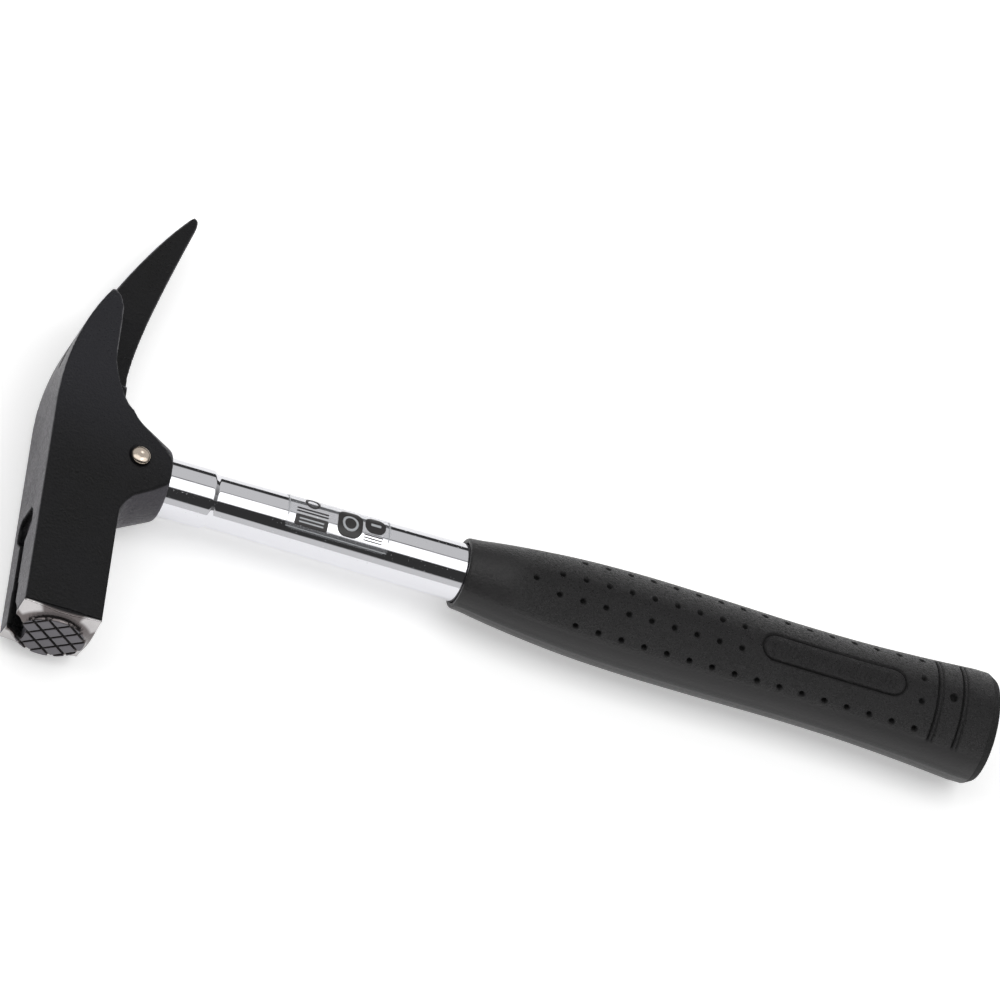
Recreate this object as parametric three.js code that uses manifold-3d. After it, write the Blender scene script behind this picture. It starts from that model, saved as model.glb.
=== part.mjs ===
// A roofer's claw hammer lying on its side: a forged head with a waffle face, a magnetic nail groove,
// a short tine and a long spike, riveted onto a chromed steel tube with a rubber grip.
//
// All sizes are in millimetres. The model is drawn with the handle's axis on X, x = 0 at the top of
// the head and x growing towards the grip. The striking face looks to -Y, the claw points to +Y, and
// Z runs from side to side. The finished group is then moved so that its origin is the middle of
// the underside of its bounding box.
import * as THREE from "three";
import { mergeVertices } from "three/addons/utils/BufferGeometryUtils.js";
import Module from "manifold-3d";

// Overall
const HAMMER_LENGTH = 325; // top of the head to the end of the grip
const FIT_GAP = 0.3; // between pieces that touch

// Tube
const TUBE_END_DIAMETER = 19.4; // in the socket and just outside it
const TUBE_WALL = 1.3;
const TUBE_SHOULDER = 56; // the tube is drawn down to its waist here
const TUBE_SHOULDER_LENGTH = 1.8;
const TUBE_WAIST_DIAMETER = 17.5;
const TUBE_GRIP_DIAMETER = 19.2;
const TUBE_SOCKET_CLEARANCE = 2; // end of the tube to the floor of the socket

// Head block
const FACE_REACH = 64.5; // handle axis to the striking face
const CHEEK_WALL = 3.5; // metal between the tube and the outside of each cheek
const HEAD_WIDTH = TUBE_END_DIAMETER + 2 * CHEEK_WALL;
const POLL_DEPTH = 25.5; // top of the head to the underside of the poll
const TOP_EDGE_CHAMFER = 0.5;
const CHEEK_FLAT_DEPTH = 14; // the cheeks are parallel this far down, then lean inwards
const CHEEK_LEAN = 0.07; // inward millimetres per millimetre of depth

// Striking face
const FACE_RADIUS = 11.2; // flat part of the face
const GRIND_REACH = 18.6; // radius where the hollow-ground edge meets the poll's corners
const GRIND_DEPTH = 3.5;
const WAFFLE_PITCH = 5;
const WAFFLE_GROOVE_WIDTH = 0.9;
const WAFFLE_GROOVE_DEPTH = 0.8;

// Claw: a short tine on the +Z side and a long spike on the -Z side, with a tapered slot between
const CLAW_START = 12; // the straight top turns into the claw's arc here
const CLAW_RADIUS = 92;
const TINE_REACH = 59;
const TINE_THICKNESS = 17.1; // top of the head to the tine's underside
const TINE_TIP_THICKNESS = 2.9;
const TINE_TIP_LENGTH = 6.4; // rounded end of the tine
const TINE_SIDE_TAPER = 1.8; // its cheek draws in by this, slowly at first
const TINE_TAPER_STEPS = 5;
const SPIKE_REACH = 104.5;
const SPIKE_TIP_WIDTH = 3.2; // behind its rounded nose
const SPIKE_NOSE = { depth: 1.9, length: 5 }; // rounds the underside of the tip
const SPIKE_NOSE_PLAN = [
  [0, 0.35],
  [0.9, 0.75],
  [3, 1],
]; // back from the tip, and share of the width there
const SPIKE_TIP_Z = -6;
const SPIKE_BACK_BOW = 1.6; // how far the spike's back stands off a straight line
const SPIKE_BOW_PLACE = 0.6; // where along the spike the bow is fullest, as a share of its length
const SPIKE_ROOT_STEP = 0.4; // the spike's underside starts this far above the poll's
const SPIKE_CURVE = { rise: 5.8, reach: 17 }; // how far its underside's curve is pulled to the root
const TAPER_START = 38; // both prongs keep the head's full width up to here
const SLOT_ROOT = 33;
const SLOT_ROOT_WIDTH = 2.4;
const SLOT_MOUTH_WIDTH = 8.8; // at the tine's tip
const SLOT_ROOT_RADIUS_STEPS = 6;

// Socket: a cone around the handle that flares into the block
const SOCKET_END = 41;
const SOCKET_RIM_WALL = 1.5; // metal around the tube at the socket's mouth
const SOCKET_RIM_ROUND = 0.8;
const SOCKET_SLOPE = 0.5; // radius gained per millimetre towards the block
const SOCKET_FLARE_END = 30.5;
const SOCKET_FLARE_RISE = 6.6; // the flare's width where it meets the poll's underside
const EAR_BEND = { radius: 22.6, x: 19.4 }; // the pull of the longer flare under the tine
const POLL_FLARE_BEND = 2;
const SOCKET_FLOOR = 14;
const EAR_BACK_RISE = 36; // where the tine's underside starts to curve into the ear
const EAR_FOOT_RISE = 16.8; // where that curve reaches the depth of the poll
const EAR_FRONT_RISE = 21; // where the poll's underside starts to curve into the socket
const EAR_FRONT_BEND = 4;

// Nail groove in the top of the head, from the striking face to a pocket for the nail's head
const GROOVE_Z = -2.2;
const GROOVE_MOUTH_WIDTH = 6.2;
const GROOVE_MOUTH_LENGTH = 16;
const GROOVE_DEPTH = 5.2;
const GROOVE_NECK_WIDTH = 4.6;
const GROOVE_NECK_LENGTH = 15.5;
const POCKET_WIDTH = 14.4;
const POCKET_LENGTH = 7.5;
const POCKET_SHOULDER = 3;
const POCKET_CORNER = { along: 1.5, across: 0.8 };
const POCKET_DEPTH = 6;
const LEDGE_LENGTH = 3.5;
const LEDGE_DEPTH = 2.6;
const LEDGE_TAPER = [0.6, 2.4]; // its sides draw in by this at the middle and at the end
const FUNNEL_SIZE = { depth: 4.4, length: 9.5, halfWidth: 5.2 };
const FUNNEL_SHIFT = 2; // the funnel leans to the tine's side

// Magnet in the floor of the groove's neck
const MAGNET_DIAMETER = 4;
const MAGNET_LENGTH = 5.6;

// Rivet through the socket
const RIVET_X = 29.8;
const RIVET_Y = 1.4; // off the handle's axis, towards the claw
const RIVET_DIAMETER = 5;
const RIVET_HEAD_OVERHANG = 0.7; // head beyond the shank, all round
const RIVET_HEAD_HEIGHT = 1.7;
const RIVET_HEAD_EDGE = 0.3; // upright edge under the dome
const RIVET_SEAT_CLEARANCE = 0.8; // countersunk seat beyond the head, all round
const RIVET_SEAT_DEPTH = 0.4;

// Wooden core in the tube's riveted end
const CORE_LENGTH = 36;

// Grip
const GRIP_LENGTH = 183;
const GRIP_OVAL = 0.87; // width over height at the end; round at the lip
const GRIP_DROP = 2.1; // the grip's end sits this far towards the face
const GRIP_END_WALL = 6;
const GRIP_LIP_WALL = 1.4; // rubber over the tube at the lip
const GRIP_LIP_ROUND = 0.9;
const GRIP_END_CHAMFER = 3;
// Rubber over the tube at places along the grip, each as a share of the grip's length
const GRIP_WALLS = [
  [0.02, 2.3],
  [0.05, 3.1],
  [0.126, 4.75],
  [0.21, 6.1],
  [0.32, 6.9],
  [0.45, 6.95],
  [0.65, 6.7],
  [0.75, 7.05],
  [0.86, 8.1],
  [0.96, 9.5],
];

// Plug in the tube's lower end
const PLUG_LENGTH = 14;
const PLUG_FLANGE_THICKNESS = 2;

// Label film on the tube
const LABEL_PLACE = 0.46; // share of the free tube's length that lies before it
const LABEL_LENGTH = 35;
const LABEL_THICKNESS = 0.15;
const LABEL_FROM_ANGLE = -40; // degrees from +Z towards +Y
const LABEL_TO_ANGLE = 65;

const ROUND_SEGMENTS = 48;
const SMALL_ROUND_SEGMENTS = 24;
const CURVE_SEGMENTS = 10;
const RIVET_DOME_STEPS = 5;
const FAR = 400; // larger than any part of the head
const CUT_OVERLAP = 1; // cutting shapes run this far past the faces that they open

const wasm = await Module();
wasm.setup();

// --- Solids from three.js geometry -------------------------------------------------------------

function solidFrom(geometry) {
  const bare = geometry.clone();
  bare.deleteAttribute("normal");
  bare.deleteAttribute("uv");
  const merged = mergeVertices(bare, 1e-4);
  return new wasm.Manifold(
    new wasm.Mesh({
      numProp: 3,
      vertProperties: new Float32Array(merged.attributes.position.array),
      triVerts: new Uint32Array(merged.index.array),
    }),
  );
}

function geometryFrom(solid) {
  const mesh = solid.getMesh();
  const geometry = new THREE.BufferGeometry();
  geometry.setAttribute("position", new THREE.BufferAttribute(mesh.vertProperties, 3));
  geometry.setIndex(new THREE.BufferAttribute(mesh.triVerts, 1));
  geometry.computeVertexNormals();
  return geometry;
}

const axes = {
  x: new THREE.Vector3(1, 0, 0),
  y: new THREE.Vector3(0, 1, 0),
  z: new THREE.Vector3(0, 0, 1),
};

// A shape drawn in two axes and pushed along the third, such as ("y", "z", "x").
function extrude(shape, across, up, along, from, to) {
  const geometry = new THREE.ExtrudeGeometry(shape, {
    depth: to - from,
    bevelEnabled: false,
    curveSegments: CURVE_SEGMENTS,
  });
  geometry.translate(0, 0, from);
  geometry.applyMatrix4(new THREE.Matrix4().makeBasis(axes[across], axes[up], axes[along]));
  return solidFrom(geometry);
}

const sideExtrusion = (shape, fromZ, toZ) => extrude(shape, "x", "y", "z", fromZ, toZ);
const planExtrusion = (shape, fromX, toX) => extrude(shape, "y", "z", "x", fromX, toX);
const endExtrusion = (shape, fromY, toY) => extrude(shape, "z", "x", "y", fromY, toY);

const shapeOf = (points) => new THREE.Shape(points.map(([u, v]) => new THREE.Vector2(u, v)));

// A profile of [radius, distance] points turned about one of the axes.
function turn(profile, axis, segments = ROUND_SEGMENTS) {
  const points = profile.map(([radius, along]) => new THREE.Vector2(radius, along));
  const geometry = new THREE.LatheGeometry(points, segments);
  if (axis === "x") geometry.rotateZ(-Math.PI / 2);
  if (axis === "z") geometry.rotateX(Math.PI / 2);
  return geometry;
}

// A straight round bar, used for pins and for the holes they sit in.
function bar(radius, from, to, axis, segments = ROUND_SEGMENTS) {
  return turn([[0, from], [radius, from], [radius, to], [0, to]], axis, segments);
}

function box(x0, x1, y0, y1, z0, z1) {
  const geometry = new THREE.BoxGeometry(x1 - x0, y1 - y0, z1 - z0);
  return solidFrom(geometry.translate((x0 + x1) / 2, (y0 + y1) / 2, (z0 + z1) / 2));
}

const cutAll = (solid, cutters) => cutters.reduce((left, cutter) => left.subtract(cutter), solid);

const { lerp } = THREE.MathUtils;

// --- Sizes worked out from the ones above ------------------------------------------------------

const halfWidth = HEAD_WIDTH / 2;
const faceCentreX = POLL_DEPTH / 2;
const cheekAt = (x) => halfWidth - CHEEK_LEAN * Math.max(0, x - CHEEK_FLAT_DEPTH);
const halvesOverlap = SLOT_ROOT_WIDTH / 4; // the head's two halves run into each other by this
const clawAngle = Math.asin((TINE_REACH - CLAW_START) / CLAW_RADIUS);
const tineTipX = CLAW_RADIUS * (1 - Math.cos(clawAngle));
const spikeTipX = tineTipX + (SPIKE_REACH - TINE_REACH) * Math.tan(clawAngle);
const tubeEndRadius = TUBE_END_DIAMETER / 2;
const tubeStart = SOCKET_FLOOR + TUBE_SOCKET_CLEARANCE;
const boreRadius = tubeEndRadius + FIT_GAP;
const socketEndRadius = boreRadius + SOCKET_RIM_WALL;
const rivetHoleRadius = RIVET_DIAMETER / 2 + FIT_GAP;
const rivetHeadRadius = RIVET_DIAMETER / 2 + RIVET_HEAD_OVERHANG;
const rivetSeatZ = cheekAt(RIVET_X) - RIVET_SEAT_DEPTH;
const waistStart = TUBE_SHOULDER + TUBE_SHOULDER_LENGTH;
const gripStart = HAMMER_LENGTH - GRIP_LENGTH;
const gripTubeRadius = TUBE_GRIP_DIAMETER / 2;
const gripBoreRadius = gripTubeRadius + FIT_GAP;
const labelStart = waistStart + LABEL_PLACE * (gripStart - waistStart - LABEL_LENGTH);
const plugEnd = HAMMER_LENGTH - GRIP_END_WALL - FIT_GAP;
const tubeEnd = plugEnd - PLUG_FLANGE_THICKNESS - FIT_GAP;
const tubeInnerRadius = gripTubeRadius - TUBE_WALL;
const grooveNeckStart = -FACE_REACH + GROOVE_MOUTH_LENGTH;
const pocketStart = grooveNeckStart + GROOVE_NECK_LENGTH;
const ledgeStart = pocketStart + POCKET_LENGTH;

// Outer radius of the bare tube between its shoulder and the grip.
function tubeRadiusAt(x) {
  const share = Math.min(1, Math.max(0, (x - waistStart) / (gripStart - waistStart)));
  return (TUBE_WAIST_DIAMETER + share * (TUBE_GRIP_DIAMETER - TUBE_WAIST_DIAMETER)) / 2;
}

// Radius of the socket's cone, without its flare.
const socketRadiusAt = (x) => socketEndRadius + SOCKET_SLOPE * (SOCKET_END - x);

// --- Hammer head -------------------------------------------------------------------------------

// The top of the head as seen from the side: straight over the poll, then an arc along the claw.
function startSideOutline() {
  const outline = new THREE.Shape();
  outline.moveTo(0, -FACE_REACH);
  outline.lineTo(0, CLAW_START);
  outline.absarc(CLAW_RADIUS, CLAW_START, CLAW_RADIUS, Math.PI, Math.PI - clawAngle, true);
  return outline;
}

// The underside from the claw to the face: round the socket's two ears and along the poll.
function finishSideOutline(outline, clawUndersideX) {
  const earX = SOCKET_FLARE_END;
  const earRise = Math.sqrt(socketRadiusAt(earX) ** 2 - halfWidth ** 2);
  outline.quadraticCurveTo(clawUndersideX, EAR_BEND.radius, POLL_DEPTH, EAR_FOOT_RISE);
  outline.lineTo(earX, earRise);
  outline.lineTo(earX, -earRise);
  outline.quadraticCurveTo(POLL_DEPTH, -earRise - EAR_FRONT_BEND, POLL_DEPTH, -EAR_FRONT_RISE);
  outline.lineTo(POLL_DEPTH, -FACE_REACH);
}

function tineSide() {
  const outline = startSideOutline();
  outline.quadraticCurveTo(
    tineTipX + TINE_TIP_THICKNESS,
    TINE_REACH,
    TINE_THICKNESS,
    TINE_REACH - TINE_TIP_LENGTH,
  );
  outline.lineTo(TINE_THICKNESS, EAR_BACK_RISE);
  finishSideOutline(outline, TINE_THICKNESS);
  return sideExtrusion(outline, -halvesOverlap, halfWidth);
}

function spikeSide() {
  const outline = startSideOutline();
  const rootX = POLL_DEPTH - SPIKE_ROOT_STEP;
  outline.quadraticCurveTo(
    lerp(tineTipX, spikeTipX, SPIKE_BOW_PLACE) - 2 * SPIKE_BACK_BOW * Math.cos(clawAngle),
    lerp(TINE_REACH, SPIKE_REACH, SPIKE_BOW_PLACE) + 2 * SPIKE_BACK_BOW * Math.sin(clawAngle),
    spikeTipX,
    SPIKE_REACH,
  );
  outline.quadraticCurveTo(
    spikeTipX + SPIKE_NOSE.depth,
    SPIKE_REACH - SPIKE_NOSE.depth / 3,
    spikeTipX + SPIKE_NOSE.depth / 2,
    SPIKE_REACH - SPIKE_NOSE.length,
  );
  outline.quadraticCurveTo(
    (spikeTipX + rootX) / 2 - SPIKE_CURVE.rise,
    (SPIKE_REACH + EAR_BACK_RISE) / 2 - SPIKE_CURVE.reach,
    rootX,
    EAR_BACK_RISE,
  );
  finishSideOutline(outline, rootX);
  return sideExtrusion(outline, -halfWidth, halvesOverlap);
}

// The head seen along the handle: parallel cheeks, then two tapering prongs with the slot between.
function planLimits() {
  const slotRoot = SLOT_ROOT_WIDTH / 2;
  const slotMouth = SLOT_MOUTH_WIDTH / 2;
  const noseSide = (side) =>
    SPIKE_NOSE_PLAN.map(([back, share]) => [
      SPIKE_REACH - back,
      SPIKE_TIP_Z + (side * share * SPIKE_TIP_WIDTH) / 2,
    ]);
  const behind = TINE_REACH + CUT_OVERLAP;
  const root = Array.from({ length: SLOT_ROOT_RADIUS_STEPS - 1 }, (_, i) => {
    const angle = (Math.PI * (i + 1)) / SLOT_ROOT_RADIUS_STEPS;
    return [SLOT_ROOT - slotRoot * Math.sin(angle), slotRoot * Math.cos(angle)];
  });
  const tineSideLine = Array.from({ length: TINE_TAPER_STEPS }, (_, i) => {
    const share = 1 - i / TINE_TAPER_STEPS;
    return [lerp(TAPER_START, behind, share), halfWidth - TINE_SIDE_TAPER * share ** 2];
  });
  return planExtrusion(
    shapeOf([
      [-FAR, -halfWidth],
      [TAPER_START, -halfWidth],
      ...noseSide(-1).reverse(),
      ...noseSide(1),
      [TINE_REACH, -slotMouth],
      [SLOT_ROOT, -slotRoot],
      ...root.reverse(),
      [SLOT_ROOT, slotRoot],
      [behind, slotMouth],
      ...tineSideLine,
      [TAPER_START, halfWidth],
      [-FAR, halfWidth],
    ]),
    -FAR,
    FAR,
  );
}

// The head seen from the face: chamfered top edges and cheeks that lean in towards the socket.
function cheekLimits() {
  const chamfer = TOP_EDGE_CHAMFER;
  const belowSocket = SOCKET_END + CUT_OVERLAP;
  const half = [
    [halfWidth - chamfer - CUT_OVERLAP, -CUT_OVERLAP],
    [halfWidth, chamfer],
    [halfWidth, CHEEK_FLAT_DEPTH],
    [cheekAt(belowSocket), belowSocket],
  ];
  const mirrored = half.map(([z, x]) => [-z, x]).reverse();
  return endExtrusion(shapeOf([...half, ...mirrored]), -FAR, FAR);
}

// Everything behind the striking face: a flat disc with a hollow-ground edge around it.
function faceLimits() {
  const grind = Array.from({ length: CURVE_SEGMENTS + 1 }, (_, i) => {
    const angle = (Math.PI / 2) * (i / CURVE_SEGMENTS);
    const radius = GRIND_REACH - (GRIND_REACH - FACE_RADIUS) * Math.cos(angle);
    return [radius, -FACE_REACH + GRIND_DEPTH * Math.sin(angle)];
  });
  const profile = [[0, -FACE_REACH], ...grind, [FAR, -FACE_REACH + GRIND_DEPTH], [FAR, FAR], [0, FAR]];
  return solidFrom(turn(profile, "y").translate(faceCentreX, 0, 0));
}

function waffleGrooves() {
  const grooves = [];
  const reach = Math.ceil(FACE_RADIUS / WAFFLE_PITCH);
  for (const angle of [Math.PI / 4, -Math.PI / 4]) {
    for (let i = -reach; i <= reach; i += 1) {
      const groove = new THREE.BoxGeometry(
        WAFFLE_GROOVE_WIDTH,
        2 * WAFFLE_GROOVE_DEPTH,
        4 * FACE_RADIUS,
      );
      groove.translate(i * WAFFLE_PITCH, 0, 0);
      groove.rotateY(angle);
      groove.translate(faceCentreX, -FACE_REACH, 0);
      grooves.push(solidFrom(groove));
    }
  }
  return grooves;
}

function nailGroove() {
  const mouth = GROOVE_MOUTH_WIDTH / 2;
  const neck = GROOVE_NECK_WIDTH / 2;
  const wide = POCKET_WIDTH / 2;
  const halfPocket = [
    [pocketStart, neck],
    [pocketStart + POCKET_SHOULDER, wide - POCKET_CORNER.across],
    [pocketStart + POCKET_SHOULDER + POCKET_CORNER.along, wide],
    [ledgeStart, wide],
  ];
  const halfLedge = [
    [ledgeStart - CUT_OVERLAP, wide],
    [ledgeStart + LEDGE_LENGTH / 2, wide - LEDGE_TAPER[0]],
    [ledgeStart + LEDGE_LENGTH, wide - LEDGE_TAPER[1]],
  ];
  const both = (half) => [
    ...half.map(([y, z]) => [y, GROOVE_Z - z]),
    ...half.map(([y, z]) => [y, GROOVE_Z + z]).reverse(),
  ];
  const funnel = new THREE.SphereGeometry(1, SMALL_ROUND_SEGMENTS, SMALL_ROUND_SEGMENTS / 2);
  funnel.scale(FUNNEL_SIZE.depth, FUNNEL_SIZE.length, FUNNEL_SIZE.halfWidth);
  const outside = -FACE_REACH - CUT_OVERLAP;
  const neckEnd = pocketStart + CUT_OVERLAP;
  funnel.translate(0, outside, GROOVE_Z + FUNNEL_SHIFT);
  return [
    box(-CUT_OVERLAP, GROOVE_DEPTH, outside, grooveNeckStart, GROOVE_Z - mouth, GROOVE_Z + mouth),
    box(-CUT_OVERLAP, GROOVE_DEPTH, outside, neckEnd, GROOVE_Z - neck, GROOVE_Z + neck),
    planExtrusion(shapeOf(both(halfPocket)), -CUT_OVERLAP, POCKET_DEPTH),
    planExtrusion(shapeOf(both(halfLedge)), -CUT_OVERLAP, LEDGE_DEPTH),
    solidFrom(funnel),
  ];
}

// The cone around the tube: a short flare where it meets the poll, and a long one under the tine.
function socketBoss() {
  const coneRadius = socketRadiusAt(SOCKET_FLARE_END);
  const half = (rootRadius, rootX, bendRadius, bendX) => {
    const flare = new THREE.QuadraticBezierCurve(
      new THREE.Vector2(rootRadius, rootX),
      new THREE.Vector2(bendRadius, bendX),
      new THREE.Vector2(coneRadius, SOCKET_FLARE_END),
    );
    const profile = [
      [0, SOCKET_FLOOR],
      [rootRadius, SOCKET_FLOOR],
      ...flare.getPoints(CURVE_SEGMENTS).map((point) => [point.x, point.y]),
      [socketRadiusAt(SOCKET_END - SOCKET_RIM_ROUND), SOCKET_END - SOCKET_RIM_ROUND],
      [socketEndRadius - SOCKET_RIM_ROUND / 2, SOCKET_END],
      [0, SOCKET_END],
    ];
    return solidFrom(turn(profile, "x"));
  };
  const bendX = POLL_DEPTH + POLL_FLARE_BEND;
  const front = half(coneRadius + SOCKET_FLARE_RISE, POLL_DEPTH, socketRadiusAt(bendX), bendX);
  const back = half(EAR_BACK_RISE, TINE_THICKNESS, EAR_BEND.radius, EAR_BEND.x);
  return front
    .intersect(box(0, FAR, -FAR, halvesOverlap, -FAR, FAR))
    .add(back.intersect(box(0, FAR, 0, FAR, -FAR, FAR)));
}

function hammerHead() {
  const block = tineSide().add(spikeSide()).add(socketBoss());
  const outer = block.intersect(planLimits()).intersect(cheekLimits()).intersect(faceLimits());
  const seatRadius = rivetHeadRadius + RIVET_SEAT_CLEARANCE;
  const rivetSeats = [-1, 1].map((side) =>
    solidFrom(
      bar(seatRadius, rivetSeatZ, halfWidth + CUT_OVERLAP, "z", SMALL_ROUND_SEGMENTS)
        .rotateX(side < 0 ? Math.PI : 0)
        .translate(RIVET_X, RIVET_Y, 0),
    ),
  );
  return cutAll(outer, [
    solidFrom(bar(boreRadius, SOCKET_FLOOR, SOCKET_END + CUT_OVERLAP, "x")),
    solidFrom(
      bar(rivetHoleRadius, -halfWidth, halfWidth, "z", SMALL_ROUND_SEGMENTS)
        .translate(RIVET_X, RIVET_Y, 0),
    ),
    ...rivetSeats,
    ...waffleGrooves(),
    ...nailGroove(),
    magnetSolid(FIT_GAP),
  ]);
}

// --- Small parts of the head -------------------------------------------------------------------

// The magnet, or with a gap the hole that it sits in, which opens into the groove's floor.
function magnetSolid(gap) {
  const top = gap > 0 ? GROOVE_DEPTH - CUT_OVERLAP : GROOVE_DEPTH + FIT_GAP;
  const bottom = GROOVE_DEPTH + FIT_GAP + MAGNET_LENGTH + gap;
  const magnet = bar(MAGNET_DIAMETER / 2 + gap, top, bottom, "x", SMALL_ROUND_SEGMENTS);
  return solidFrom(magnet.translate(0, grooveNeckStart + GROOVE_NECK_LENGTH / 2, GROOVE_Z));
}

function rivet() {
  const shank = RIVET_DIAMETER / 2;
  const head = rivetHeadRadius;
  const seat = rivetSeatZ + FIT_GAP;
  const rise = RIVET_HEAD_HEIGHT - RIVET_HEAD_EDGE;
  const dome = Array.from({ length: RIVET_DOME_STEPS }, (_, i) => {
    const angle = (Math.PI / 2) * (i / RIVET_DOME_STEPS);
    return [head * Math.cos(angle), seat + RIVET_HEAD_EDGE + rise * Math.sin(angle)];
  });
  const upper = [[shank, seat], [head, seat], ...dome, [0, seat + RIVET_HEAD_HEIGHT]];
  const lower = upper.map(([radius, z]) => [radius, -z]).reverse();
  return turn([...lower, ...upper], "z", SMALL_ROUND_SEGMENTS).translate(RIVET_X, RIVET_Y, 0);
}

// --- Handle ------------------------------------------------------------------------------------

const rivetHole = () =>
  solidFrom(
    bar(rivetHoleRadius, -boreRadius, boreRadius, "z", SMALL_ROUND_SEGMENTS)
      .translate(RIVET_X, RIVET_Y, 0),
  );

function handleTube() {
  const outer = [
    [tubeEndRadius, tubeStart],
    [tubeEndRadius, TUBE_SHOULDER],
    [tubeRadiusAt(waistStart), waistStart],
    [tubeRadiusAt(gripStart), gripStart],
    [tubeRadiusAt(gripStart), tubeEnd],
  ];
  const inner = outer.map(([radius, x]) => [radius - TUBE_WALL, x]).reverse();
  return solidFrom(turn([...outer, ...inner, outer[0]], "x")).subtract(rivetHole());
}

function tubeCore() {
  const radius = tubeEndRadius - TUBE_WALL - FIT_GAP;
  const start = tubeStart + FIT_GAP;
  return solidFrom(bar(radius, start, start + CORE_LENGTH, "x")).subtract(rivetHole());
}

function tubePlug() {
  const stem = tubeInnerRadius - FIT_GAP;
  const flange = gripTubeRadius;
  const flangeStart = plugEnd - PLUG_FLANGE_THICKNESS;
  return turn(
    [
      [0, plugEnd - PLUG_LENGTH],
      [stem, plugEnd - PLUG_LENGTH],
      [stem, flangeStart],
      [flange, flangeStart],
      [flange, plugEnd],
      [0, plugEnd],
    ],
    "x",
  );
}

// The grip is turned round, then squeezed to an oval and leaned towards the face along its length.
function grip() {
  const swell = new THREE.SplineCurve(
    GRIP_WALLS.map(
      ([share, wall]) => new THREE.Vector2(gripStart + share * GRIP_LENGTH, gripTubeRadius + wall),
    ),
  );
  const lipRadius = gripBoreRadius + GRIP_LIP_WALL;
  const points = swell.getPoints(3 * CURVE_SEGMENTS).map((point) => [point.y, point.x]);
  const endHeight = points[points.length - 1][0];
  const outline = [
    [0, gripStart],
    [lipRadius, gripStart],
    [lipRadius + GRIP_LIP_ROUND / 2, gripStart + GRIP_LIP_ROUND],
    ...points,
    [endHeight, HAMMER_LENGTH - GRIP_END_CHAMFER],
    [endHeight - GRIP_END_CHAMFER / 2, HAMMER_LENGTH],
    [0, HAMMER_LENGTH],
  ];
  const geometry = turn(outline, "x", ROUND_SEGMENTS);
  const position = geometry.attributes.position;
  for (let i = 0; i < position.count; i += 1) {
    const share = (position.getX(i) - gripStart) / GRIP_LENGTH;
    position.setY(i, position.getY(i) - GRIP_DROP * share);
    position.setZ(i, position.getZ(i) * (1 - (1 - GRIP_OVAL) * share));
  }
  const bore = bar(gripBoreRadius, gripStart - CUT_OVERLAP, plugEnd + FIT_GAP, "x");
  return solidFrom(geometry).subtract(solidFrom(bore));
}

// A sector of a thin cone that follows the tube.
function handleLabel() {
  const end = labelStart + LABEL_LENGTH;
  const inner = [labelStart, end].map((x) => [tubeRadiusAt(x) + FIT_GAP, x]);
  const outer = inner.map(([radius, x]) => [radius + LABEL_THICKNESS, x]);
  const ring = solidFrom(turn([...outer, inner[1], inner[0], outer[0]], "x", 2 * ROUND_SEGMENTS));
  const angles = [LABEL_FROM_ANGLE, (LABEL_FROM_ANGLE + LABEL_TO_ANGLE) / 2, LABEL_TO_ANGLE];
  const rays = angles.map((degrees) => {
    const angle = THREE.MathUtils.degToRad(degrees);
    return [FAR * Math.sin(angle), FAR * Math.cos(angle)];
  });
  const sector = shapeOf([[0, 0], ...rays.reverse()]);
  return ring.intersect(planExtrusion(sector, labelStart - CUT_OVERLAP, end + CUT_OVERLAP));
}

// --- Assembly ----------------------------------------------------------------------------------

const materials = {
  forgedSteel: { color: 0x1b1b1e, roughness: 0.55, metalness: 0.4 },
  magnet: { color: 0x8d8f93, roughness: 0.35, metalness: 1 },
  rivetSteel: { color: 0xc9c2b6, roughness: 0.25, metalness: 1 },
  chrome: { color: 0xd6d8da, roughness: 0.08, metalness: 1 },
  wood: { color: 0xb58a5a, roughness: 0.7, metalness: 0 },
  rubber: { color: 0x1a1a1b, roughness: 0.65, metalness: 0 },
  plastic: { color: 0x2a2a2c, roughness: 0.5, metalness: 0 },
  film: { color: 0xe6e8ea, roughness: 0.2, metalness: 0 },
};

const hammer = new THREE.Group();

function addPart(name, shape, material) {
  const geometry = shape.isBufferGeometry ? shape : geometryFrom(shape);
  const mesh = new THREE.Mesh(geometry, new THREE.MeshStandardMaterial(material));
  mesh.name = name;
  hammer.add(mesh);
}

addPart("hammer_head", hammerHead(), materials.forgedSteel);
addPart("nail_magnet", magnetSolid(0), materials.magnet);
addPart("head_rivet", rivet(), materials.rivetSteel);
addPart("handle_tube", handleTube(), materials.chrome);
addPart("tube_core", tubeCore(), materials.wood);
addPart("tube_plug", tubePlug(), materials.plastic);
addPart("grip", grip(), materials.rubber);
addPart("handle_label", handleLabel(), materials.film);

// The origin is the middle of the bounding box's underside.
const bounds = new THREE.Box3().setFromObject(hammer, true);
const centre = bounds.getCenter(new THREE.Vector3());
hammer.position.set(-centre.x, -centre.y, -bounds.min.z);

const model = new THREE.Group();
model.add(hammer);

export default model;
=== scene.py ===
import math

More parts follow.
